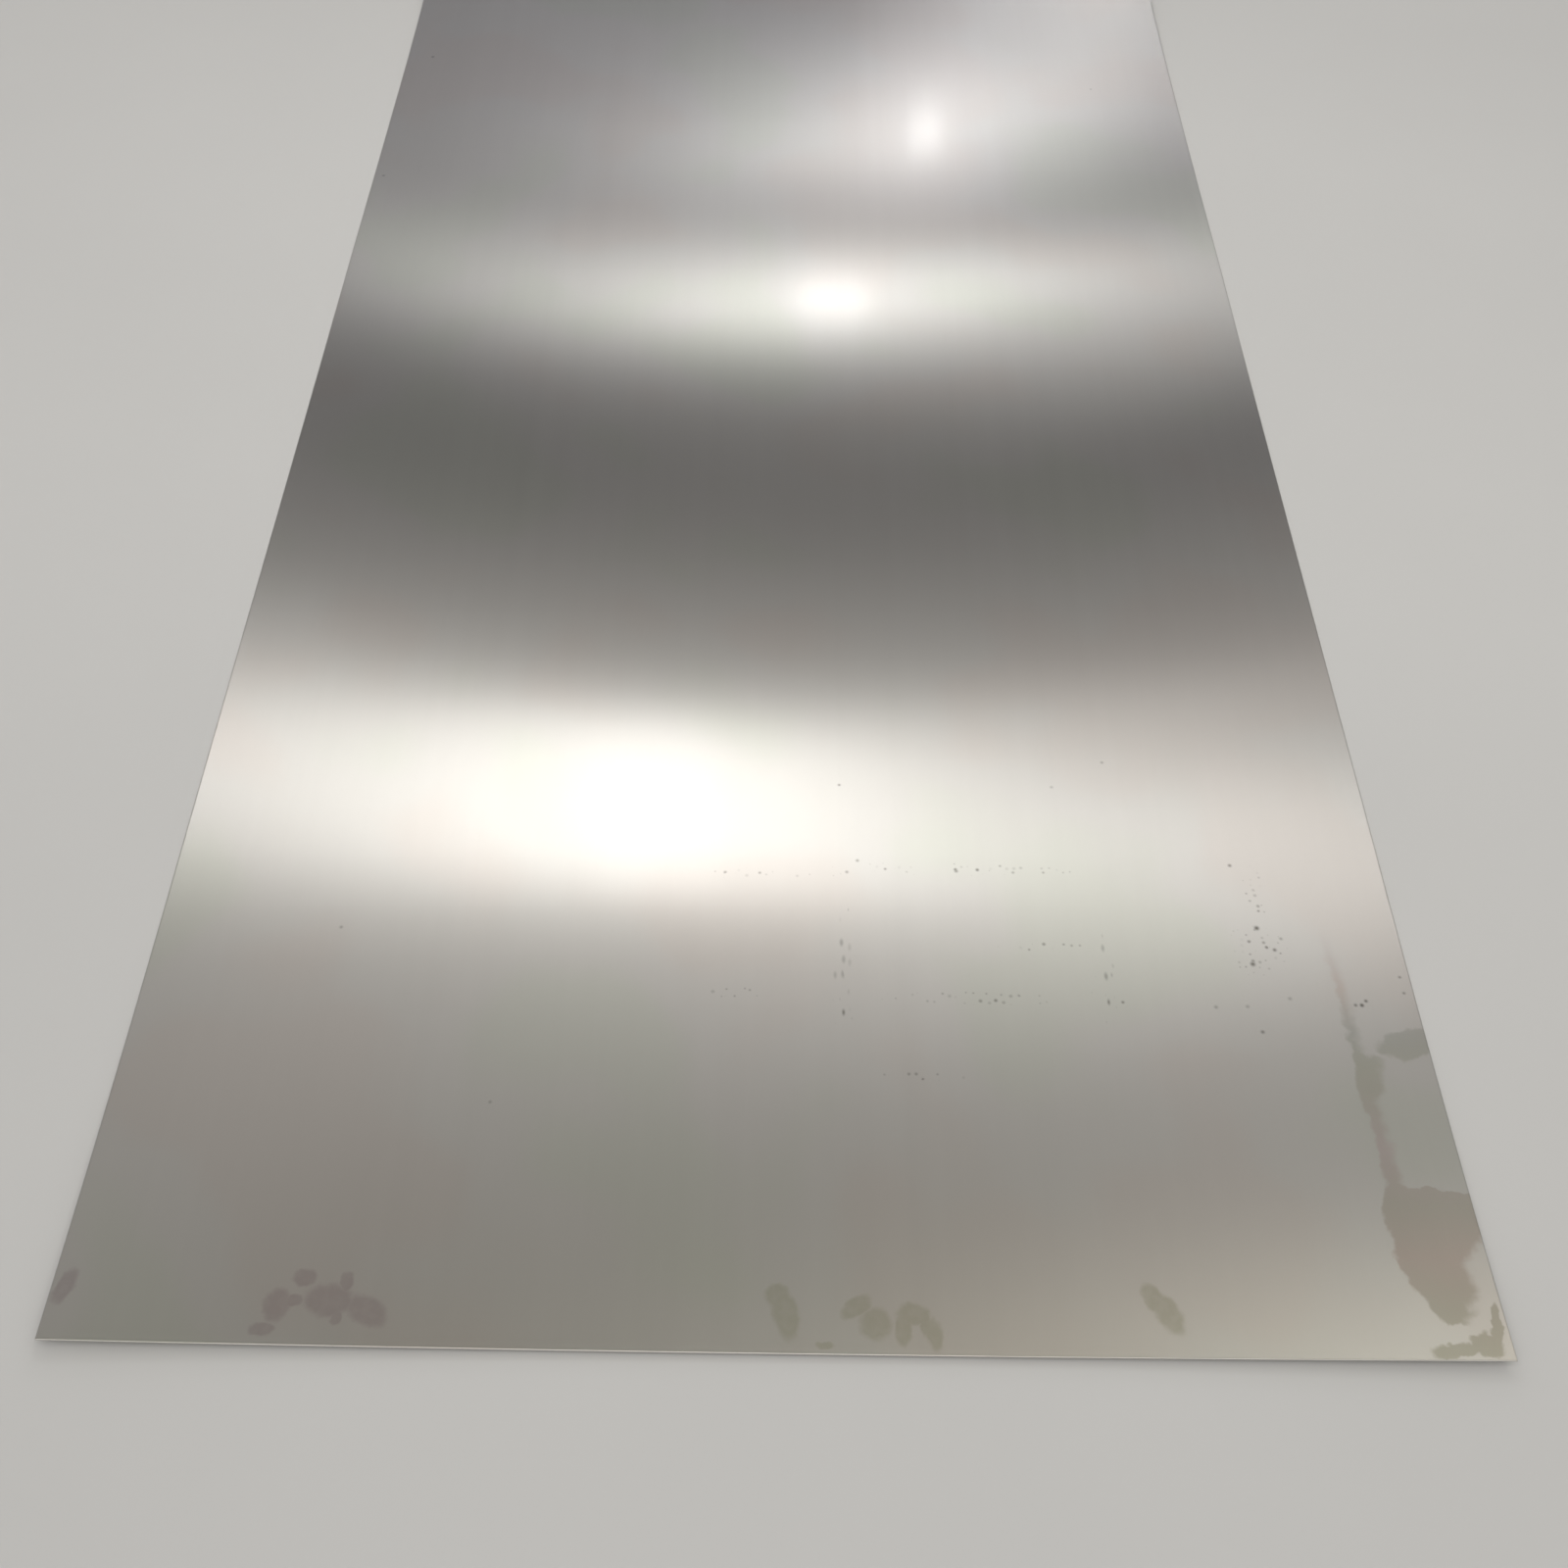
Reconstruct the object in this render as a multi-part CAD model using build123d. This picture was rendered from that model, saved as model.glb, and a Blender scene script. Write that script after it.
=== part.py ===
"""A titanium sheet of 1 x 2 m, as it lies on a level floor."""

from build123d import *
import os

# X runs across the sheet, Y along it and Z up from the floor. The origin is the centre of the
# underside. The sheet was levelled from a coil and kept a little of the coil's curl: its middle
# lies flat, and each end leaves the floor in one long gentle curve, most of all at its corners.

# Stock size
length = 2000.0
width = 1000.0
thickness = 1.5

# Curl of the ends, measured on the underside: the middle of the cut edge stands off the floor by
# end_lift, and its corners by corner_rise more
end_lift = 3.0
corner_rise = 6.5

# Edges: the shear pulls the upper skin in over its cut, and a file has taken the burr off below
roll_over_radius = 0.3
deburred_radius = 0.12

# The metal, in newtons and millimetres
elastic_modulus = 105.0e3
poisson_ratio = 0.34
specific_weight = 4.51e-6 * 9.81

# A curled end lifts off the floor until the lifted stretch weighs enough to hold it down, so the
# length of that stretch follows from the lift at the corners and from the stiffness of the metal.
corner_lift = end_lift + corner_rise
stiffness_per_weight = (
    elastic_modulus * thickness**2 / (12 * (1 - poisson_ratio**2) * specific_weight)
)
lifted_length = (8 * corner_lift * stiffness_per_weight) ** 0.25
flat_length = length - 2 * lifted_length


def curled_underside():
    """The underside of the far end, from the line where it leaves the floor to the cut edge.

    Along the sheet, at a share u of the lifted length, it follows the bending line of a strip
    under its own weight, 4/3 u^3 - 1/3 u^4 times the lift. Across the sheet the lift grows from
    end_lift with the square of the distance from the centre line. Both curves are exact in a
    Bezier surface of degree 4 by 2, whose control heights are the products of the ones below.
    """
    shares_along = (0, 0, 0, 1 / 3, 1)
    lifts_across = (corner_lift, end_lift - corner_rise, corner_lift)
    control_points = [
        [
            (
                width * (column / 2 - 0.5),
                flat_length / 2 + lifted_length * row / 4,
                share * lift,
            )
            for column, lift in enumerate(lifts_across)
        ]
        for row, share in enumerate(shares_along)
    ]
    return Face.make_bezier_surface(control_points)


def sheared_blank():
    """The flat middle and the two curled ends in one piece, with square edges."""
    middle = Box(width, flat_length, thickness, align=(Align.CENTER, Align.CENTER, Align.MIN))
    far_end = extrude(curled_underside(), amount=thickness, dir=(0, 0, 1))
    near_end = mirror(far_end, about=Plane.XZ)
    return middle + far_end + near_end


def rim(sheet, side):
    """The edges all round one skin of the sheet: side is 1 for the upper skin, -1 for the lower."""
    skin = sheet.faces().filter_by(lambda face: face.normal_at().Z * side > 0.5)
    cuts = sheet.faces().filter_by(lambda face: abs(face.normal_at().Z) < 0.5)
    return skin.edges() & cuts.edges()


def finished_sheet():
    """The blank with its rounded upper rim and its deburred lower rim."""
    sheet = sheared_blank()
    sheet = fillet(rim(sheet, 1), roll_over_radius)
    return fillet(rim(sheet, -1), deburred_radius)


titanium_plate = finished_sheet()
print(f"each end is lifted over {lifted_length:.0f} mm, and {flat_length:.0f} mm lie flat")

os.makedirs("parts", exist_ok=True)
export_step(titanium_plate, "parts/titanium_plate.step")
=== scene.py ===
# %% [markdown]
# A titanium sheet, dressed for its picture.
#
# The real object is one sheet of commercially pure titanium, 1 m wide, 2 m long and 1.5 mm
# thick. It was rolled, levelled and cut square on a shear, and it lies on a level floor. The
# construction model already holds its size and its curled ends. This script loads that model as
# a fixed frame and gives the sheet the surface that a camera sees. All lengths are in metres:
# X runs across the sheet, Y along it towards the far end, and Z up from the floor.

# %% The frame
from math import cos, pi, radians, sin

import bmesh
import bpy
from mathutils import Matrix, Vector


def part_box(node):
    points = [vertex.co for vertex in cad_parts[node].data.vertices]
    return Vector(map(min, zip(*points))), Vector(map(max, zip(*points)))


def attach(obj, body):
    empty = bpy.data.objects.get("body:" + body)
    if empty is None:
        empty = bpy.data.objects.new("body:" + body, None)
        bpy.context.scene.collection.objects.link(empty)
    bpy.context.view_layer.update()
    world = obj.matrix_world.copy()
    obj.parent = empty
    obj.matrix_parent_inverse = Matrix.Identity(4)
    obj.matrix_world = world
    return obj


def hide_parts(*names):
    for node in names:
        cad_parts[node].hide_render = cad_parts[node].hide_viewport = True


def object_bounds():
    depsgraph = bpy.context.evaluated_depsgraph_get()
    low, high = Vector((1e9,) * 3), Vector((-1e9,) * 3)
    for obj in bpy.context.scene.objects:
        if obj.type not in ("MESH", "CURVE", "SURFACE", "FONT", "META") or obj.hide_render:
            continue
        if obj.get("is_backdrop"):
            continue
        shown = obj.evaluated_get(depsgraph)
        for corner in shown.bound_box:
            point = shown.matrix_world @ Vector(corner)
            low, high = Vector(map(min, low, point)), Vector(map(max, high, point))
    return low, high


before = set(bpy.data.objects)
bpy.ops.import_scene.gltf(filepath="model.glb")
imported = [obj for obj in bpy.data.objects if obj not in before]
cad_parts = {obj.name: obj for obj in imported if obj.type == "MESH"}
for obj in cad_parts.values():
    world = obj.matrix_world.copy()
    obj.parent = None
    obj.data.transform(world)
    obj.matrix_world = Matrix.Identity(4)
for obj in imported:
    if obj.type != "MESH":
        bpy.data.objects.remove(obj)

MM = 0.001
cad_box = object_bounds()
low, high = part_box("titanium_plate")
width = high.x - low.x
length = high.y - low.y
print(f"the sheet is {width:.3f} m by {length:.3f} m, and its corners reach {high.z:.4f} m up")

# %% [markdown]
# The shape of the sheet.
#
# A sheet that was once coiled keeps a little curl. Its middle lies flat on the floor, and each
# end lifts off in a long gentle curve, a little more at the corners than in the middle of the
# cut edge. The construction model could be shown as it is, but a satin metal shows every facet
# of a coarse mesh in its reflections. So the visible sheet gets a finer mesh of its own, from the
# same bending line. One function gives how high the curl lifts the underside anywhere.

# %% The curl of the ends
thickness = 1.5 * MM
end_lift = 3.0 * MM
corner_rise = 6.5 * MM
lifted_length = 442 * MM


def curl(x, y):
    """How high the bent ends carry the underside at a point of the sheet."""
    share = max(0.0, (abs(y) - length / 2 + lifted_length) / lifted_length)
    across = 2 * x / width
    return (end_lift + corner_rise * across**2) * (4 * share**3 - share**4) / 3


print(f"a corner of the underside stands {curl(width / 2, length / 2) / MM:.1f} mm off the floor")

# %% [markdown]
# The ripple that levelling leaves.
#
# A roller leveller bends the sheet to and fro until it is flat, but never quite flat. What
# stays is far too low to see as a shape, a few tenths of a millimetre over a third of a metre.
# It shows in the reflections, whose bright bands wander a little. A bump in the material could
# imitate it, but the sheet would be dead flat in every other use, so the points themselves
# move. Three slow waves that don't fit each other never seem to repeat. They die out close to
# the rim, so that the outline stays that of the model.

# %% The ripple
ripple_height = 0.06 * MM
rim_steepness = 8
ripple_waves = [
    # crest to crest, slant of the crests, start
    (0.37, 0.21, 0.6),
    (0.61, -0.33, 2.1),
    (0.94, 0.48, 4.4),
]


def ripple(x, y):
    """The ripple at a point. It never dips below the floor and dies out at the rim."""
    waves = sum(
        1 + sin(2 * pi * (y + slant * x) / crest_gap + start)
        for crest_gap, slant, start in ripple_waves
    )
    room_across = 1 - (2 * x / width) ** rim_steepness
    room_along = 1 - (2 * y / length) ** rim_steepness
    return ripple_height * waves * room_across * room_along


def underside(x, y):
    """The height of the underside above the floor."""
    return curl(x, y) + ripple(x, y)


print(f"at the centre the ripple lifts the sheet by {ripple(0, 0) / MM:.2f} mm")

# %% [markdown]
# The edge that the shear leaves.
#
# A shear doesn't cut a sheet so much as tear it. It drags the upper skin down over the last
# millimetre, leaves a burnished band below that, and then the metal breaks, so the lower part of
# the edge leans in and is rough. A bevel would round the edge alike above and below, so the
# profile is written out instead. The drooping skin is four times as wide as it is deep, so it is
# a quarter of an ellipse. It mirrors the bright half of the room overhead, which draws the thin
# light line along the edge. Each row of points down the edge is given by how far it lies inside
# the outline and how high it lies above the underside.

# %% The profile of the edge
droop_width = 1.2 * MM
droop_depth = 0.3 * MM
burnished_depth = 0.5 * MM
tear_inset = 0.1 * MM
tear_foot = 0.3 * MM
burr_radius = 0.12 * MM
arc_steps = 6


def edge_profile():
    """Rows of (inset, height, finish of the band above) from the upper skin to the underside."""
    rows = []
    for step in range(arc_steps + 1):
        angle = pi / 2 * step / arc_steps
        inset = droop_width * (1 - sin(angle))
        rows.append((inset, thickness - droop_depth * (1 - cos(angle)), "skin"))
    rows.append((0.0, thickness - droop_depth - burnished_depth, "burnished"))
    rows.append((tear_inset, tear_foot, "torn"))
    rows.append((tear_inset, burr_radius, "torn"))
    rows.append((tear_inset + burr_radius, 0.0, "torn"))
    return rows


profile = edge_profile()
print(f"the edge has {len(profile)} rows over {thickness / MM} mm")

# %% [markdown]
# The mesh.
#
# The sheet is a closed skin: a grid on top, a grid below, and the rows of the edge between them.
# A plane with a thickness modifier would be quicker, but its edge would be square all round. Both
# grids have equally many points round their rim, so plain quads join everything. The outermost
# strip of each grid is very narrow. It keeps the smooth shading of the flat skin from bleeding
# into the rounding.

# %% Build the sheet
cells_across = 72
cells_along = 150
rim_strip = 0.6 * MM
finishes = ["skin", "below", "burnished", "torn"]


def grid_lines(half_size, cells, inset):
    """Places of the grid lines from one side to the other, with a narrow strip at each rim."""
    rim = half_size - inset
    inner = rim - rim_strip
    middle = [inner * (2 * i / cells - 1) for i in range(cells + 1)]
    return [-rim] + middle + [rim]


def grid_points(mesh, inset, height):
    """Points over the whole sheet at a height above its underside, as rows along Y."""
    xs = grid_lines(width / 2, cells_across, inset)
    ys = grid_lines(length / 2, cells_along, inset)
    return [[mesh.verts.new((x, y, underside(x, y) + height)) for x in xs] for y in ys]


def fill_grid(mesh, rows, finish):
    """The quads of a grid. The skin faces up, the grid below faces down."""
    for row, next_row in zip(rows, rows[1:]):
        for i in range(len(row) - 1):
            corners = [row[i], row[i + 1], next_row[i + 1], next_row[i]]
            face = mesh.faces.new(corners if finish == "skin" else corners[::-1])
            face.material_index = finishes.index(finish)


def rim_of(rows):
    """The points round a grid, once round, anticlockwise as seen from above."""
    near = rows[0][:-1]
    right = [row[-1] for row in rows[:-1]]
    far = rows[-1][:0:-1]
    left = [row[0] for row in rows[:0:-1]]
    return near + right + far + left


def edge_ring(mesh, rim, inset, height):
    """The points of the upper rim, moved out to an inset and down to a height."""
    first_inset = profile[0][0]
    ring = []
    for point in rim:
        x = point.co.x * (width / 2 - inset) / (width / 2 - first_inset)
        y = point.co.y * (length / 2 - inset) / (length / 2 - first_inset)
        ring.append(mesh.verts.new((x, y, underside(x, y) + height)))
    return ring


def join_rings(mesh, upper, lower, finish):
    """A band of quads from one ring of points to the next one down the edge."""
    for i, point in enumerate(upper):
        after = (i + 1) % len(upper)
        face = mesh.faces.new([upper[after], point, lower[i], lower[after]])
        face.material_index = finishes.index(finish)


def build_sheet():
    """The closed mesh of the sheet as a new object."""
    mesh = bmesh.new()
    top = grid_points(mesh, *profile[0][:2])
    bottom = grid_points(mesh, *profile[-1][:2])
    fill_grid(mesh, top, "skin")
    fill_grid(mesh, bottom, "below")
    rim = rim_of(top)
    ring = rim
    for inset, height, finish in profile[1:-1]:
        next_ring = edge_ring(mesh, rim, inset, height)
        join_rings(mesh, ring, next_ring, finish)
        ring = next_ring
    join_rings(mesh, ring, rim_of(bottom), profile[-1][2])
    data = bpy.data.meshes.new("titanium_sheet")
    mesh.to_mesh(data)
    mesh.free()
    piece = bpy.data.objects.new("titanium_sheet", data)
    bpy.context.scene.collection.objects.link(piece)
    return piece


sheet = build_sheet()
print(f"the sheet has {len(sheet.data.polygons)} faces")

# %% [markdown]
# Shading, a map, and the frame.
#
# Smooth shading suits the skins and the rounding, and a crease of more than 35 degrees stays
# sharp, such as the foot of the burnished band. The sheet also gets a map in which U runs across
# it and V along it. The finish needs it to know which way is across. An automatic unwrap would
# turn and cut the map as it likes, so the map is taken from the places of the points. Then the
# sheet is tied to the only body there is, so that it moves with it, and the plain node of the
# construction model, which the sheet stands in for, is hidden.

# %% Shade the sheet and tie it to the frame
crease_angle = radians(35)


def map_across_and_along(piece):
    """A map whose U runs across the sheet and whose V runs along it."""
    layer = piece.data.uv_layers.new(name="across_and_along")
    for corner in piece.data.loops:
        point = piece.data.vertices[corner.vertex_index].co
        layer.data[corner.index].uv = (point.x / width + 0.5, point.y / length + 0.5)


sheet.data.shade_smooth()
sheet.data.set_sharp_from_angle(angle=crease_angle)
map_across_and_along(sheet)
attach(sheet, "root")
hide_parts("titanium_plate")
print("the sheet rides on the root body and stands for titanium_plate")

# %% [markdown]
# Helpers for the finishes.
#
# Colours are written as the sRGB hex values that a colour picker shows. The shader works in
# linear light, so one function turns them over. Nodes could be placed by hand in the shader
# editor, but a script that adds them can be read and changed line by line. So another function
# adds a node with its settings and its links, and every finish below is built with it. A third
# one starts a material without any nodes.

# %% Colours, nodes and materials


def linear_colour(hex_code):
    """An sRGB hex value as linear red, green, blue and alpha, by the formula of that standard."""
    channels = [int(hex_code[i:i + 2], 16) / 255 for i in (1, 3, 5)]
    return [c / 12.92 if c <= 0.04045 else ((c + 0.055) / 1.055) ** 2.4 for c in channels] + [1.0]


def add_node(tree, kind, settings=None, links=None):
    """A new node. Settings fill its properties or its inputs, and links join sockets to inputs."""
    node = tree.nodes.new(kind)
    for name, value in (settings or {}).items():
        if isinstance(name, str) and hasattr(node, name):
            setattr(node, name, value)
        else:
            node.inputs[name].default_value = value
    for name, socket in (links or {}).items():
        tree.links.new(socket, node.inputs[name])
    return node


def bare_material(name):
    """A new material and its node tree, which is still empty."""
    material = bpy.data.materials.new(name)
    material.use_nodes = True
    material.node_tree.nodes.clear()
    return material, material.node_tree


print("mid grey in linear light:", round(linear_colour("#808080")[0], 3))

# %% [markdown]
# Places in millimetres.
#
# Marks and grain are easiest to place in millimetres from the centre of the sheet. The map could
# give the place as well, but only as a share of the width and the length. A mark with a smooth
# outline looks drawn, so the marks read a place that noise has pushed about: by a millimetre or
# two for a finger print, and by more for dried water. Noise has a mean of 0.5 and mostly stays
# within a quarter of it, which tells how much to stretch it for a given reach.

# %% Places on the sheet
noise_mean = 0.5
noise_swing = 0.25


def place_in_mm(tree):
    """The place on the sheet in millimetres from its centre, without its height."""
    point = add_node(tree, "ShaderNodeTexCoord").outputs["Object"]
    flat = add_node(
        tree,
        "ShaderNodeVectorMath",
        {"operation": "MULTIPLY", 1: (1 / MM, 1 / MM, 0)},
        {0: point},
    )
    return flat.outputs[0]


def pushed_about(tree, place, reach, feature, detail=2.0):
    """The place, moved by noise, mostly by less than the reach. All sizes are in mm."""
    noise = add_node(
        tree,
        "ShaderNodeTexNoise",
        {"noise_dimensions": "2D", "Scale": 1 / feature, "Detail": detail},
        {"Vector": place},
    )
    push = add_node(
        tree,
        "ShaderNodeVectorMath",
        {"operation": "SUBTRACT", 1: (noise_mean,) * 3},
        {0: noise.outputs["Color"]},
    )
    stretch = reach / noise_swing
    moved = add_node(
        tree,
        "ShaderNodeVectorMath",
        {"operation": "MULTIPLY_ADD", 1: (stretch, stretch, 0)},
        {0: push.outputs[0], 2: place},
    )
    return moved.outputs[0]


print("marks are placed in millimetres, X across and Y along")

# %% [markdown]
# Masks.
#
# A mask is a number from 0 to 1 that says how dirty a place is. It could be a painted image, but
# a computed one stays sharp however near the camera comes. An oval mask turns the place into the
# oval's own frame, where its rim lies at a distance of 1 from its middle, and fades from there
# inwards. Masks are joined by taking the stronger one.

# %% Masks


def fade(tree, value, start, end, strength=1.0):
    """A mask that rises smoothly from 0 to its strength as a value goes from start to end."""
    settings = {
        "interpolation_type": "SMOOTHSTEP",
        "From Min": start,
        "From Max": end,
        "To Max": strength,
    }
    return add_node(tree, "ShaderNodeMapRange", settings, {"Value": value}).outputs["Result"]


def oval(tree, place, x, y, across, along, turn=0.0, soft=1.0, strength=1.0):
    """A mask of an oval mark. Its sizes are in mm and its turn in degrees."""
    settings = {
        "vector_type": "TEXTURE",
        "Location": (x, y, 0),
        "Rotation": (0, 0, radians(turn)),
        "Scale": (across / 2, along / 2, 1),
    }
    inside = add_node(tree, "ShaderNodeMapping", settings, {"Vector": place})
    reach = add_node(tree, "ShaderNodeVectorMath", {"operation": "LENGTH"}, {0: inside.outputs[0]})
    return fade(tree, reach.outputs["Value"], 1.0, 1.0 - soft, strength)


def together(tree, masks):
    """One mask that is as strong as the strongest of several."""
    strongest = masks[0]
    for mask in masks[1:]:
        larger = add_node(tree, "ShaderNodeMath", {"operation": "MAXIMUM"}, {0: strongest, 1: mask})
        strongest = larger.outputs[0]
    return strongest


print("masks can fade, be oval and be joined")

# %% [markdown]
# Specks of dirt.
#
# Something ribbed once lay on the sheet, mostly on its right half, and left rows and columns of
# tiny specks. There is also one thick cluster of them near the right edge. A speck is 2 to 4 mm
# across. Specks could be tiny solids, but they are flat spots of dirt, so a mask is enough. Every
# cell of a Voronoi pattern holds one speck at most, and a zone says how large it may grow: the
# zones are the rows, the columns and the cluster. The zone is read at the middle of the cell, so
# no speck is cut in two. Each cell also has its own chance numbers, which make some specks
# smaller or paler. In the columns the specks are drawn out along the sheet, as if dragged. A few
# darker specks lie alone and are placed one by one.

# %% Specks
speck_hex = "#8a8882"
speck_gap = 6.0
# shares of the gap
speck_radius = 0.4
speck_rim = 0.34
# chance numbers between which a speck grows from nothing to its full size
growing_chance = (0.1, 0.8)
zone_softness = 0.7
field_strength = 0.8
# share to which the place is squeezed along the sheet, which draws the specks out
dragged = 0.42
row_zones = [
    # x, y, across, along
    (150, -588, 300, 18),
    (-30, -596, 230, 14),
    (208, -663, 120, 16),
    (160, -714, 240, 18),
    (108, -784, 120, 9),
    (-42, -712, 110, 13),
    (380, -663, 74, 76),
    (390, -606, 30, 80),
]
column_zones = [
    (47, -682, 30, 190),
    (254, -688, 34, 130),
]
lone_specks = [
    # x, y, size, strength
    (385, -642, 7.0, 1.0),
    (376, -677, 7.0, 0.9),
    (396, -663, 5.5, 0.8),
    (403, -652, 5.0, 0.5),
    (373, -579, 5.5, 0.8),
    (373, -740, 5.5, 0.7),
    (400, -709, 5.5, 0.4),
    (340, -718, 5.5, 0.5),
    (365, -717, 5.5, 0.4),
    (267, -715, 4.5, 0.7),
    (451, -714, 5.0, 0.7),
    (456, -714, 5.5, 1.0),
    (460, -710, 5.0, 0.8),
    (492, -687, 4.5, 0.6),
    (492, -702, 4.5, 0.6),
    (52, -593, 5.0, 0.6),
    (61, -581, 5.0, 0.6),
    (143, -590, 5.5, 0.7),
    (47, -500, 4.5, 0.7),
    (231, -498, 5.0, 0.4),
    (278, -469, 5.0, 0.5),
    (-355, -657, 5.0, 0.5),
    (-218, -812, 4.5, 0.4),
    (392, 677, 5.0, 0.5),
    (-489, 434, 6.0, 0.5),
    (-468, 717, 7.0, 0.6),
]


def speck_field(tree, place, zones, squeeze):
    """A mask of specks that are as large as their zones allow, some of them paler."""
    squeezed = add_node(tree, "ShaderNodeMapping", {"Scale": (1, squeeze, 1)}, {"Vector": place})
    cells = add_node(
        tree,
        "ShaderNodeTexVoronoi",
        {"voronoi_dimensions": "2D", "Scale": 1 / speck_gap},
        {"Vector": squeezed.outputs[0]},
    )
    middle = add_node(
        tree,
        "ShaderNodeMapping",
        {"Scale": (1, 1 / squeeze, 1)},
        {"Vector": cells.outputs["Position"]},
    )
    chance = add_node(tree, "ShaderNodeSeparateColor", {}, {"Color": cells.outputs["Color"]})
    ovals = [oval(tree, middle.outputs[0], *zone, soft=zone_softness) for zone in zones]
    growth = fade(tree, chance.outputs["Red"], *growing_chance, strength=speck_radius)
    radius = add_node(
        tree, "ShaderNodeMath", {"operation": "MULTIPLY"}, {0: together(tree, ovals), 1: growth}
    )
    inside = add_node(
        tree,
        "ShaderNodeMath",
        {"operation": "SUBTRACT"},
        {0: radius.outputs[0], 1: cells.outputs["Distance"]},
    )
    dark = fade(tree, inside.outputs[0], 0.0, speck_rim, strength=field_strength)
    paler = add_node(
        tree, "ShaderNodeMath", {"operation": "MULTIPLY"}, {0: dark, 1: chance.outputs["Green"]}
    )
    return paler.outputs[0]


def specks(tree, place):
    """All specks as a mask, and the tint of dirt."""
    fields = [
        speck_field(tree, place, row_zones, 1.0),
        speck_field(tree, place, column_zones, dragged),
    ]
    alone = [
        oval(tree, place, x, y, size, size, strength=strength)
        for x, y, size, strength in lone_specks
    ]
    dirt = add_node(tree, "ShaderNodeRGB")
    dirt.outputs[0].default_value = linear_colour(speck_hex)
    return together(tree, fields + alone), dirt.outputs[0]


print(f"{len(row_zones) + len(column_zones)} zones of specks and {len(lone_specks)} lone ones")

# %% [markdown]
# Dried water.
#
# Along the right edge a run of dirty water has dried. It starts as a thin streak, widens once,
# and ends in a broad ragged pool near the corner, with smaller pools beside it. Ovals alone would
# look like a string of beads. Dried water has a clear shore, so each shore is a curve: for each
# place along the sheet it says how far across the water reached. The curves read a place that
# noise has pushed about, which makes the shores ragged. The water left a pink film where it was
# thin and grey mud where it stood last.

# %% Dried water
run_along = (-1000, -640)
run_across = (420, 530)
ragged_reach = 3.0
ragged_size = 13.0
ragged_detail = 3.0
# where the stain starts and where it is full, in mm inwards from its shore
left_shore_fade = (-2, 2)
right_shore_fade = (-4, 6)
pool_softness = 0.25
shores = [
    # along, left shore, right shore
    (-1000, 460, 450),
    (-978, 460, 455),
    (-974, 455, 474),
    (-966, 451, 481),
    (-958, 449, 479),
    (-950, 444, 487),
    (-930, 434, 484),
    (-921, 435, 490),
    (-912, 437, 500),
    (-890, 434, 520),
    (-876, 439, 520),
    (-870, 440, 453),
    (-835, 441, 452),
    (-800, 439, 450),
    (-790, 437, 458),
    (-763, 438, 461),
    (-757, 439, 449),
    (-737, 440, 447),
    (-700, 438, 447),
    (-666, 436, 443),
    (-640, 438, 437),
]
pools = [
    # x, y, across, along, turn
    (461, -993, 40, 14, 6),
    (482, -989, 26, 20, 15),
    (493, -974, 9, 34, -8),
    (487, -748, 62, 28, 12),
]
water_tints = [
    # along, tint
    (-994, "#e4e3d8"),
    (-962, "#e3e1d8"),
    (-926, "#ede2dd"),
    (-885, "#ece9e2"),
    (-840, "#fbeff2"),
    (-770, "#ecede4"),
    (-740, "#e9ebe8"),
    (-700, "#fbf4f1"),
    (-664, "#fffdfd"),
]


def share_of(value, span):
    """Where a value lies in a span, from 0 to 1."""
    return (value - span[0]) / (span[1] - span[0])


def shore_line(tree, run, points):
    """How far across the sheet, in mm, a shore lies at a share of the run."""
    line = add_node(tree, "ShaderNodeFloatCurve", {}, {"Value": run})
    curve = line.mapping.curves[0]
    while len(curve.points) < len(points):
        curve.points.new(0.5, 0.5)
    for point, (along, across) in zip(curve.points, points):
        point.location = (share_of(along, run_along), share_of(across, run_across))
        point.handle_type = "VECTOR"
    line.mapping.update()
    back_to_mm = add_node(
        tree,
        "ShaderNodeMapRange",
        {"To Min": run_across[0], "To Max": run_across[1]},
        {"Value": line.outputs["Value"]},
    )
    return back_to_mm.outputs["Result"]


def dried_water(tree, place):
    """The run of water as a mask, and the tint of what it left."""
    ragged = pushed_about(tree, place, ragged_reach, ragged_size, ragged_detail)
    parts = add_node(tree, "ShaderNodeSeparateXYZ", {}, {0: ragged})
    run = add_node(
        tree,
        "ShaderNodeMapRange",
        {"From Min": run_along[0], "From Max": run_along[1]},
        {"Value": parts.outputs["Y"]},
    ).outputs["Result"]
    left = shore_line(tree, run, [(along, left) for along, left, right in shores])
    right = shore_line(tree, run, [(along, right) for along, left, right in shores])
    past_left = add_node(
        tree, "ShaderNodeMath", {"operation": "SUBTRACT"}, {0: parts.outputs["X"], 1: left}
    )
    before_right = add_node(
        tree, "ShaderNodeMath", {"operation": "SUBTRACT"}, {0: right, 1: parts.outputs["X"]}
    )
    stream = add_node(
        tree,
        "ShaderNodeMath",
        {"operation": "MULTIPLY"},
        {
            0: fade(tree, past_left.outputs[0], *left_shore_fade),
            1: fade(tree, before_right.outputs[0], *right_shore_fade),
        },
    )
    puddles = [oval(tree, ragged, *pool, soft=pool_softness) for pool in pools]
    mask = together(tree, [stream.outputs[0]] + puddles)
    left_behind = add_node(tree, "ShaderNodeValToRGB", {}, {"Fac": run})
    stops = left_behind.color_ramp.elements
    while len(stops) < len(water_tints):
        stops.new(0.5)
    for stop, (along, tint) in zip(stops, water_tints):
        stop.position = share_of(along, run_along)
        stop.color = linear_colour(tint)
    return mask, left_behind.outputs["Color"]


print(f"the water ran over {shores[-2][0] - shores[1][0]} mm")

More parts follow.
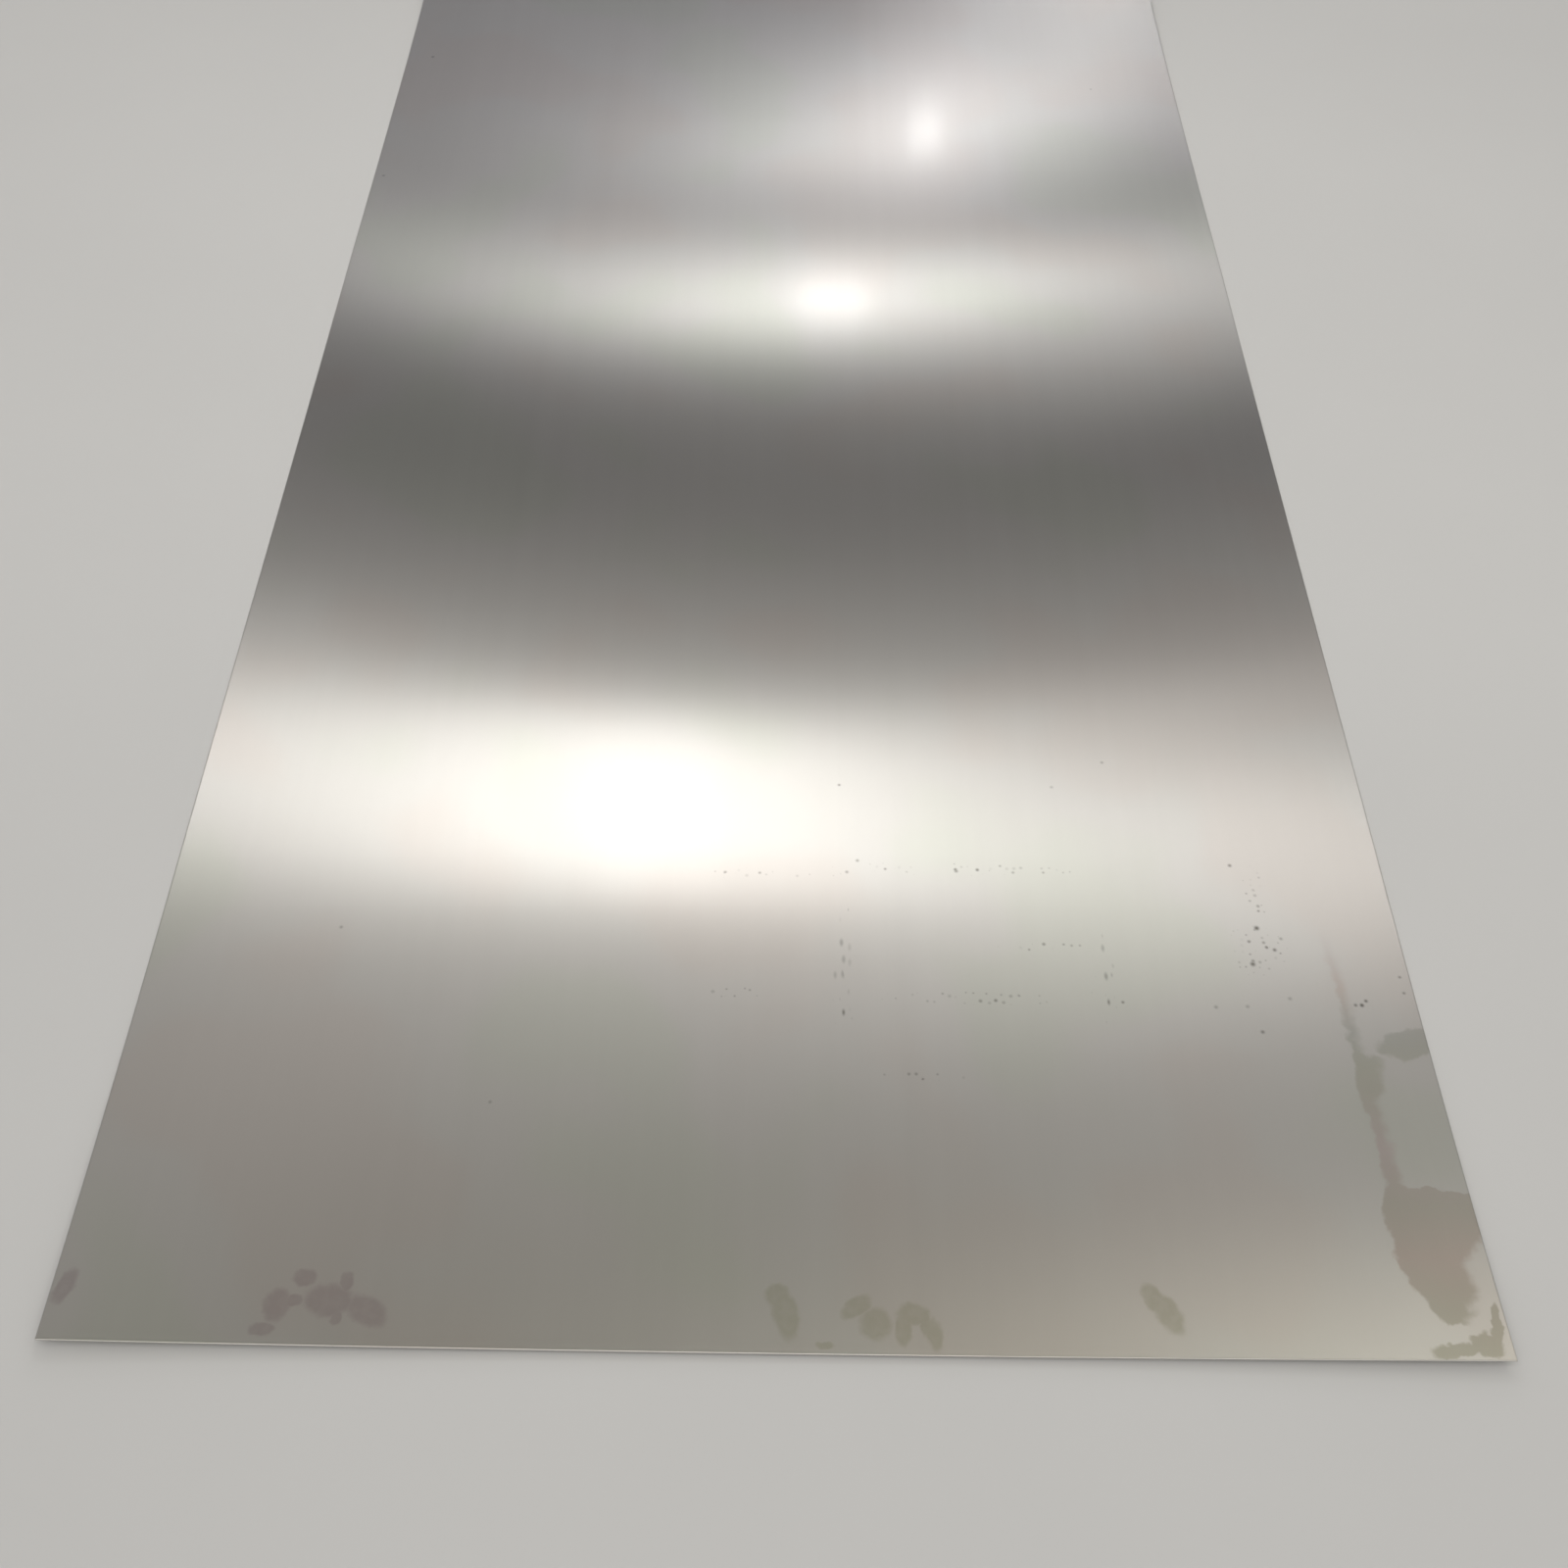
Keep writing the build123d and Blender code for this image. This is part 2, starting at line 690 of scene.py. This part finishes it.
# %% [markdown]
# Finger prints.
#
# Whoever carried the sheet left prints of bare fingers and gloves along its near edge: one group
# on the left, a row in the middle and a single thumb on the right. Skin grease fills the fine
# texture of the metal, so a print looks a little darker: a shade pinker on the left and a shade
# more olive elsewhere. Noise could scatter the prints, but a hand leaves them side by side, so
# each has its own place. A print is one or a few overlapping ovals with soft rims, and its grease
# is slightly patchy. One function makes them all: it gets a group of ovals and a tint, and it
# returns the function that soils the skin with them.

# %% Finger prints
pink_grease_hex = "#ebe4e7"
olive_grease_hex = "#ebebe1"
smear_reach = 1.2
smear_size = 9.0
print_softness = 0.4
grease_patch = 7.0
# noise at which the grease is thinnest and at which it is full
patchy_noise = (0.3, 0.6)
thinnest_grease = 0.8
left_hand = [
    # x, y, across, along, turn
    (-352, -989, 21, 12, 0),
    (-345, -972, 22, 29, 0),
    (-334, -968, 16, 10, 0),
    (-329, -952, 20, 16, 0),
    (-310, -968, 41, 29, -5),
    (-300, -954, 11, 18, 0),
    (-303, -980, 9, 13, 0),
    (-283, -975, 39, 24, -30),
    (-491, -962, 15, 32, -16),
]
middle_row = [
    (-2, -959, 21, 22, 0),
    (3, -971, 22, 47, 12),
    (52, -966, 29, 16, 35),
    (65, -978, 27, 28, 0),
    (91, -971, 28, 20, 0),
    (84, -982, 14, 29, 0),
    (99, -977, 9, 22, 0),
    (105, -985, 14, 29, 8),
    (30, -994, 14, 8, 0),
]
thumb = [
    (259, -958, 17, 30, 28),
    (268, -969, 21, 37, 25),
]


def finger_prints(group, grease_hex):
    """A function that gives a group of prints as one patchy mask, and the tint of its grease."""

    def soil(tree, place):
        smeared = pushed_about(tree, place, smear_reach, smear_size)
        ovals = [oval(tree, smeared, *one, soft=print_softness) for one in group]
        noise = add_node(
            tree,
            "ShaderNodeTexNoise",
            {"noise_dimensions": "2D", "Scale": 1 / grease_patch},
            {"Vector": place},
        )
        thin, full = patchy_noise
        patchy = add_node(
            tree,
            "ShaderNodeMapRange",
            {"From Min": thin, "From Max": full, "To Min": thinnest_grease},
            {"Value": noise.outputs["Fac"]},
        )
        mask = add_node(
            tree,
            "ShaderNodeMath",
            {"operation": "MULTIPLY"},
            {0: together(tree, ovals), 1: patchy.outputs["Result"]},
        )
        grease = add_node(tree, "ShaderNodeRGB")
        grease.outputs[0].default_value = linear_colour(grease_hex)
        return mask.outputs[0], grease.outputs[0]

    return soil


print(f"{len(left_hand) + len(middle_row) + len(thumb)} ovals make up the prints")

# %% [markdown]
# Scuffs on the underside.
#
# The underside has slid over shelves and benches. The scuffs are short, fine and slanted, and
# lie in a few worn areas. They could be drawn one by one, but none of them has a place of its
# own. So they are noise that is drawn out in one slanted direction, and only its highest crests
# show.

# %% Scuffs
scuff_hex = "#cfccc6"
scuff_width = 2.5
scuff_length = 130.0
scuff_slant = 74.0
worn_area = 210.0
# noise between which a scuff and a worn area come up
scuff_noise = (0.58, 0.72)
worn_noise = (0.42, 0.62)


def scuffs(tree, place):
    """Slanted scuffs as a mask, and their tint."""
    settings = {
        "vector_type": "TEXTURE",
        "Rotation": (0, 0, radians(scuff_slant)),
        "Scale": (scuff_width, scuff_length, 1),
    }
    drawn_out = add_node(tree, "ShaderNodeMapping", settings, {"Vector": place})
    crests = add_node(
        tree,
        "ShaderNodeTexNoise",
        {"noise_dimensions": "2D", "Scale": 1.0},
        {"Vector": drawn_out.outputs[0]},
    )
    areas = add_node(
        tree,
        "ShaderNodeTexNoise",
        {"noise_dimensions": "2D", "Scale": 1 / worn_area},
        {"Vector": place},
    )
    mask = add_node(
        tree,
        "ShaderNodeMath",
        {"operation": "MULTIPLY"},
        {
            0: fade(tree, crests.outputs["Fac"], *scuff_noise),
            1: fade(tree, areas.outputs["Fac"], *worn_noise),
        },
    )
    grey = add_node(tree, "ShaderNodeRGB")
    grey.outputs[0].default_value = linear_colour(scuff_hex)
    return mask.outputs[0], grey.outputs[0]


print(f"scuffs are {scuff_width} mm wide and up to {scuff_length:.0f} mm long")

# %% [markdown]
# The titanium skin.
#
# Cold-rolled and pickled titanium is a satin silver, a shade warmer and darker than steel. The
# rolls press fine lines into it along its length. They scatter light across the sheet and hardly
# along it, which turns every lamp into a bright streak that lies across the sheet. That is the
# anisotropy of the shader, at its highest, with a roughness that is typical of a satin finish.
# The tangent tells the shader which way is across. Grooves in the mesh would do the same, but it
# would take thousands of them. The real lines lie about 0.1 mm apart, too fine for the picture,
# so they are drawn 2 to 20 mm apart and very faint.
#
# Over the metal lies a clear film of oxide. It mirrors a little by itself, and more sharply than
# the metal under it, so each lamp keeps a small soft core inside its streak. That is the coat of
# the shader. Where the film is thicker or thinner it gives the metal a faint cast of pink or
# green, which comes and goes over a quarter of a metre.

# %% The titanium skin
titanium_hex = "#c6c3bd"
pink_hex = "#fffcfb"
green_hex = "#fcfffb"
skin_roughness = 0.295
skin_anisotropy = 1.0
film_weight = 0.15
film_roughness = 0.1
line_gap = 20.0
line_length = 1500.0
line_detail = 4.0
# how far the brightness and the roughness swing between two lines
line_strength = 0.01
line_roughness = 0.005
cast_size = 260.0
film_casts = [
    # noise where the cast starts, noise where it is full, tint
    (0.48, 0.35, pink_hex),
    (0.52, 0.65, green_hex),
]
dirt_roughness = 0.03


def swung(tree, noise, middle, swing):
    """Noise, turned into a number that swings round a middle."""
    settings = {
        "From Min": noise_mean - noise_swing,
        "From Max": noise_mean + noise_swing,
        "To Min": middle - swing,
        "To Max": middle + swing,
    }
    return add_node(tree, "ShaderNodeMapRange", settings, {"Value": noise}).outputs["Result"]


def tinted(tree, colour, mask, tint):
    """The colour, multiplied by a tint where the mask is 1."""
    # a mix node takes its two colours at inputs 6 and 7 and gives the mixed one at output 2
    mix = add_node(
        tree,
        "ShaderNodeMix",
        {"data_type": "RGBA", "blend_type": "MULTIPLY"},
        {0: mask, 6: colour, 7: tint},
    )
    return mix.outputs[2]


def with_oxide_film(tree, place, colour):
    """The colour with a pink film in some places and a green one in others."""
    noise = add_node(
        tree,
        "ShaderNodeTexNoise",
        {"noise_dimensions": "2D", "Scale": 1 / cast_size},
        {"Vector": place},
    )
    for start, end, tint_hex in film_casts:
        tint = add_node(tree, "ShaderNodeRGB")
        tint.outputs[0].default_value = linear_colour(tint_hex)
        mask = fade(tree, noise.outputs["Fac"], start, end)
        colour = tinted(tree, colour, mask, tint.outputs[0])
    return colour


def titanium_skin(name, soiling):
    """Satin rolled titanium, soiled by functions that each give a mask and a tint."""
    material, tree = bare_material(name)
    place = place_in_mm(tree)
    drawn_out = add_node(
        tree,
        "ShaderNodeMapping",
        {"Scale": (1, line_gap / line_length, 1)},
        {"Vector": place},
    )
    lines = add_node(
        tree,
        "ShaderNodeTexNoise",
        {"noise_dimensions": "2D", "Scale": 1 / line_gap, "Detail": line_detail},
        {"Vector": drawn_out.outputs[0]},
    ).outputs["Fac"]
    metal = add_node(
        tree,
        "ShaderNodeVectorMath",
        {"operation": "SCALE", 0: linear_colour(titanium_hex)[:3]},
        {"Scale": swung(tree, lines, 1.0, line_strength)},
    )
    colour = with_oxide_film(tree, place, metal.outputs[0])
    roughness = swung(tree, lines, skin_roughness, line_roughness)
    for soil in soiling:
        mask, tint = soil(tree, place)
        colour = tinted(tree, colour, mask, tint)
        roughness = add_node(
            tree,
            "ShaderNodeMath",
            {"operation": "MULTIPLY_ADD", 1: dirt_roughness},
            {0: mask, 2: roughness},
        ).outputs[0]
    across = add_node(
        tree, "ShaderNodeTangent", {"direction_type": "UV_MAP", "uv_map": "across_and_along"}
    )
    shader = add_node(
        tree,
        "ShaderNodeBsdfPrincipled",
        {
            "Metallic": 1.0,
            "Anisotropic": skin_anisotropy,
            "Coat Weight": film_weight,
            "Coat Roughness": film_roughness,
        },
        {"Base Color": colour, "Roughness": roughness, "Tangent": across.outputs["Tangent"]},
    )
    add_node(tree, "ShaderNodeOutputMaterial", {}, {"Surface": shader.outputs["BSDF"]})
    return material


upper_soiling = [
    dried_water,
    finger_prints(left_hand, pink_grease_hex),
    finger_prints(middle_row + thumb, olive_grease_hex),
    specks,
]
upper_skin = titanium_skin("rolled_titanium", upper_soiling)
lower_skin = titanium_skin("rolled_titanium_below", [scuffs])
print(f"the upper skin has {len(upper_skin.node_tree.nodes)} nodes")

# %% [markdown]
# The cut edge.
#
# The burnished band is bright and nearly smooth, where the blade slid past. The torn band below
# it is dull and grainy. Both have fine marks straight up and down. Cutting them into bands that
# are half a millimetre high would take far too fine a mesh, so they are only drawn. They are
# noise that changes fast along the edge and not at all from top to bottom, since the place
# carries no height. The real marks lie closer than half a millimetre, so they are drawn a little
# coarser.

# %% The cut edge
mark_gap = 1.2
mark_roughness = 0.08


def cut_titanium(name, dull_hex, bright_hex, roughness):
    """Sheared titanium with marks from the blade."""
    material, tree = bare_material(name)
    marks = add_node(
        tree,
        "ShaderNodeTexNoise",
        {"noise_dimensions": "2D", "Scale": 1 / mark_gap},
        {"Vector": place_in_mm(tree)},
    ).outputs["Fac"]
    colour = add_node(
        tree,
        "ShaderNodeMix",
        {"data_type": "RGBA", 6: linear_colour(dull_hex), 7: linear_colour(bright_hex)},
        {0: marks},
    )
    shader = add_node(
        tree,
        "ShaderNodeBsdfPrincipled",
        {"Metallic": 1.0},
        {
            "Base Color": colour.outputs[2],
            "Roughness": swung(tree, marks, roughness, mark_roughness),
        },
    )
    add_node(tree, "ShaderNodeOutputMaterial", {}, {"Surface": shader.outputs["BSDF"]})
    return material


burnished_band = cut_titanium(
    "burnished_cut", dull_hex="#d6d3cd", bright_hex="#f0ede7", roughness=0.35
)
torn_band = cut_titanium("torn_cut", dull_hex="#a6a39d", bright_hex="#d3d0ca", roughness=0.6)
for finish in (upper_skin, lower_skin, burnished_band, torn_band):
    sheet.data.materials.append(finish)
print("finishes:", [slot.name for slot in sheet.material_slots])

# %% [markdown]
# The floor.
#
# A painted concrete floor, pale and matt, so that it takes attention away from nothing. A curved
# backdrop would also hide where the floor ends, but the room that the sheet mirrors would be
# hidden with it. So the floor is flat, and so large that its far side melts into the horizon.
# The paint is slightly uneven, which keeps it from looking blank.

# %% The floor
floor_hex = "#d4d3d0"
floor_size = 400.0
floor_roughness = 0.8
floor_patch = 0.7
floor_detail = 4.0
floor_unevenness = 0.02


def painted_floor():
    """A plain painted floor that belongs to the stage."""
    half = floor_size / 2
    corners = [(-half, -half, 0), (half, -half, 0), (half, half, 0), (-half, half, 0)]
    data = bpy.data.meshes.new("floor")
    data.from_pydata(corners, [], [(0, 1, 2, 3)])
    floor = bpy.data.objects.new("floor", data)
    bpy.context.scene.collection.objects.link(floor)
    material, tree = bare_material("painted_floor")
    patches = add_node(
        tree,
        "ShaderNodeTexNoise",
        {"noise_dimensions": "2D", "Scale": 1 / floor_patch, "Detail": floor_detail},
        {"Vector": add_node(tree, "ShaderNodeTexCoord").outputs["Object"]},
    )
    paint = add_node(
        tree,
        "ShaderNodeVectorMath",
        {"operation": "SCALE", 0: linear_colour(floor_hex)[:3]},
        {"Scale": swung(tree, patches.outputs["Fac"], 1.0, floor_unevenness)},
    )
    shader = add_node(
        tree,
        "ShaderNodeBsdfPrincipled",
        {"Roughness": floor_roughness},
        {"Base Color": paint.outputs[0]},
    )
    add_node(tree, "ShaderNodeOutputMaterial", {}, {"Surface": shader.outputs["BSDF"]})
    data.materials.append(material)
    return floor


painted_floor()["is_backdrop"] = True
print(f"the floor is {floor_size:.0f} m wide")

# %% [markdown]
# The camera.
#
# The picture to match looks down on the sheet from above its near end. A camera placed by eye
# would leave the edges beside those of the picture, so its place and its angles were worked out
# from the sheet's two long edges and its near edge. It is held by hand, so it has a slight roll.

# %% The camera
camera_place = Vector((-0.0216, -1.4301, 1.1426))
camera_turn = radians(-1.291)
camera_dip = radians(50.809)
camera_roll = radians(-2.104)
picture_pixels = 1600
focal_pixels = 1740
sensor_width = 36.0


def matched_camera():
    """A camera that sees the sheet from the angle of the picture to match."""
    data = bpy.data.cameras.new("camera")
    data.sensor_width = sensor_width
    data.lens = focal_pixels / picture_pixels * sensor_width
    camera = bpy.data.objects.new("camera", data)
    bpy.context.scene.collection.objects.link(camera)
    turn = Matrix.Rotation(camera_turn, 4, "Z")
    dip = Matrix.Rotation(pi / 2 - camera_dip, 4, "X")
    roll = Matrix.Rotation(-camera_roll, 4, "Z")
    camera.matrix_world = Matrix.Translation(camera_place) @ turn @ dip @ roll
    bpy.context.scene.camera = camera
    return camera


camera = matched_camera()
print(f"the lens is {camera.data.lens:.1f} mm long")

# %% [markdown]
# The room.
#
# A satin sheet shows what it mirrors. The bright and dark bands that lie across the real sheet
# are the far wall, the gap above it, and the ceiling with its rows of lights, each blurred by
# the skin. Modelled walls could give them, but a world without walls renders faster, and each
# band is a number in a list. So the far half of the room is a world that changes with the height
# above the horizon, with one list of levels for its left side and one for its right. The light is
# cooler low on the far wall and warmer overhead. The camera never sees the near half mirrored in
# the sheet. That half has a third list, with grey walls and a bright ceiling: it lights the
# floor, and from the other sides it is what the sheet mirrors. At the horizon all three lists
# are as bright as the floor looks from afar, so that no edge shows there.

# %% Walls and ceiling
far_left = 1
far_right = 2
near_half = 3
room_levels = [
    # degrees above the horizon, level at the far left, at the far right, in the near half
    (0, 0.38, 0.38, 0.38),
    (10, 0.50, 0.50, 0.50),
    (16, 0.75, 0.75, 0.42),
    (22, 0.22, 0.39, 0.32),
    (28, 0.19, 0.33, 0.42),
    (34, 0.12, 0.00, 0.80),
    (40, 0.14, 0.00, 0.95),
    (46, 0.81, 0.63, 0.95),
    (51, 0.46, 1.15, 0.95),
    (56, 0.54, 1.14, 0.90),
    (60, 0.06, 0.81, 0.85),
    (64, 0.03, 0.72, 0.80),
    (74, 0.04, 0.69, 0.70),
    (90, 0.50, 0.50, 0.50),
]
brightest_level = 1.15
wall_hex = "#fffdfb"
cool_hex = "#f4f4ff"
cool_heights = (12, 38)
ceiling_hex = "#fcf9e6"
ceiling_height = 62
# sideways share of the direction from which the left side gives way to the right one
left_side = -0.6
# share of the direction, both ways from the middle, over which the two halves blend
middle_blend = 0.15


def tint_at(degrees, part):
    """The tint of the room's light at a height above the horizon."""
    if part != near_half and cool_heights[0] < degrees < cool_heights[1]:
        return linear_colour(cool_hex)
    if part != near_half and degrees > ceiling_height:
        return linear_colour(ceiling_hex)
    return linear_colour(wall_hex)


def level_ramp(tree, height, part):
    """The levels of one part of the room as a colour ramp."""
    ramp = add_node(tree, "ShaderNodeValToRGB", {}, {"Fac": height})
    stops = ramp.color_ramp.elements
    while len(stops) < len(room_levels):
        stops.new(0.5)
    for stop, levels in zip(stops, room_levels):
        share = levels[part] / brightest_level
        stop.position = levels[0] / 90
        stop.color = [channel * share for channel in tint_at(levels[0], part)[:3]] + [1.0]
    return ramp.outputs["Color"]


def room():
    """The walls and the ceiling as a world."""
    world = bpy.data.worlds.new("studio")
    world.use_nodes = True
    tree = world.node_tree
    tree.nodes.clear()
    direction = add_node(tree, "ShaderNodeTexCoord").outputs["Generated"]
    parts = add_node(tree, "ShaderNodeSeparateXYZ", {}, {0: direction})
    angle = add_node(tree, "ShaderNodeMath", {"operation": "ARCSINE"}, {0: parts.outputs["Z"]})
    height = add_node(
        tree, "ShaderNodeMath", {"operation": "MULTIPLY", 1: 2 / pi}, {0: angle.outputs[0]}
    ).outputs[0]
    rightness = add_node(
        tree, "ShaderNodeMapRange", {"From Min": left_side}, {"Value": parts.outputs["X"]}
    )
    far_half = add_node(
        tree,
        "ShaderNodeMix",
        {"data_type": "RGBA"},
        {
            0: rightness.outputs["Result"],
            6: level_ramp(tree, height, far_left),
            7: level_ramp(tree, height, far_right),
        },
    )
    everything = add_node(
        tree,
        "ShaderNodeMix",
        {"data_type": "RGBA"},
        {
            0: fade(tree, parts.outputs["Y"], middle_blend, -middle_blend),
            6: far_half.outputs[2],
            7: level_ramp(tree, height, near_half),
        },
    )
    light = add_node(
        tree,
        "ShaderNodeBackground",
        {"Strength": brightest_level},
        {"Color": everything.outputs[2]},
    )
    add_node(tree, "ShaderNodeOutputWorld", {}, {"Surface": light.outputs["Background"]})
    bpy.context.scene.world = world


room()
print(f"each part of the room has {len(room_levels)} levels")

# %% [markdown]
# The lamps.
#
# Three rows of ceiling lights make the three bright streaks. Streaks could be painted on the
# sheet, but mirrored ones move with the viewer, as on real metal. Each row has a small bright
# bulb among wider and dimmer panels. A lamp that should show at a place on the sheet hangs where
# the camera sees it mirrored there: the ray from the camera is turned up at that place and
# followed for the lamp's distance. One large softbox above the camera gives the sheet a soft
# shadow on the floor. The sheet doesn't show it, because it mirrors the other half of the room.

# %% Lamps
white_hex = "#ffffff"
cream_hex = "#fcfaec"
bluish_hex = "#f8f9ff"
mirrored_lamps = [
    # name, X and Y of its mirrored place, distance from there, across, along, level, tint
    ("near_bulb", -0.112, -0.527, 1.5, 0.22, 0.30, 5.7, white_hex),
    ("near_panel", -0.092, -0.515, 2.1, 2.40, 0.38, 0.71, white_hex),
    ("near_left_panel", -0.49, -0.44, 2.1, 0.50, 0.46, 0.88, white_hex),
    ("near_right_panel", 0.44, -0.59, 2.1, 0.56, 0.30, 1.75, white_hex),
    ("corner_panel", 0.48, -0.96, 2.1, 0.50, 0.40, 2.45, cream_hex),
    ("middle_bulb", 0.050, 0.207, 3.6, 0.22, 0.08, 46.0, white_hex),
    ("middle_panel", 0.050, 0.207, 3.6, 3.20, 0.25, 0.60, white_hex),
    ("middle_right_panel", 0.46, 0.18, 3.6, 0.80, 0.30, 0.80, white_hex),
    ("far_bulb", 0.171, 0.563, 4.5, 0.12, 0.10, 45.0, white_hex),
    ("far_panel", 0.171, 0.563, 4.5, 0.48, 0.60, 3.30, bluish_hex),
]
softbox_place = Vector((0.0, -1.5, 3.6))
softbox_target = Vector((0.0, -0.3, 0.0))
softbox_size = (3.2, 2.2)
softbox_level = 0.9


def soft_lamp(name, place, target, across, along, level, tint_hex):
    """A rectangular lamp that faces a target. Its level is the brightness of its face."""
    data = bpy.data.lights.new(name, "AREA")
    data.shape = "RECTANGLE"
    data.size = across
    data.size_y = along
    data.energy = level * across * along * pi
    data.color = linear_colour(tint_hex)[:3]
    lamp = bpy.data.objects.new(name, data)
    lamp.location = place
    lamp.rotation_euler = (target - place).to_track_quat("-Z", "Y").to_euler()
    bpy.context.scene.collection.objects.link(lamp)


def mirrored_place(spot, distance):
    """Where a lamp hangs that the camera sees mirrored in the flat sheet at a spot."""
    ray = (spot - camera_place).normalized()
    return spot + Vector((ray.x, ray.y, -ray.z)) * distance


for name, x, y, distance, across, along, level, tint_hex in mirrored_lamps:
    spot = Vector((x, y, thickness))
    place = mirrored_place(spot, distance)
    soft_lamp(name, place, spot, across, along, level, tint_hex)
soft_lamp("softbox", softbox_place, softbox_target, *softbox_size, softbox_level, white_hex)
# the plain transform shows each level as it is
bpy.context.scene.view_settings.view_transform = "Standard"
print(f"{len(mirrored_lamps)} lamps are mirrored in the sheet, and a softbox hangs above")

# %% [markdown]
# The size of the result.
#
# The visible sheet has to keep the size of the construction model, so the height of its top is
# compared with that of the model.

# %% Compare the height of the top
visual_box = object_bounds()
top_difference = (visual_box[1][2] - cad_box[1][2]) / MM
print(f"the top of the visible sheet is {top_difference:+.3f} mm from that of the model")
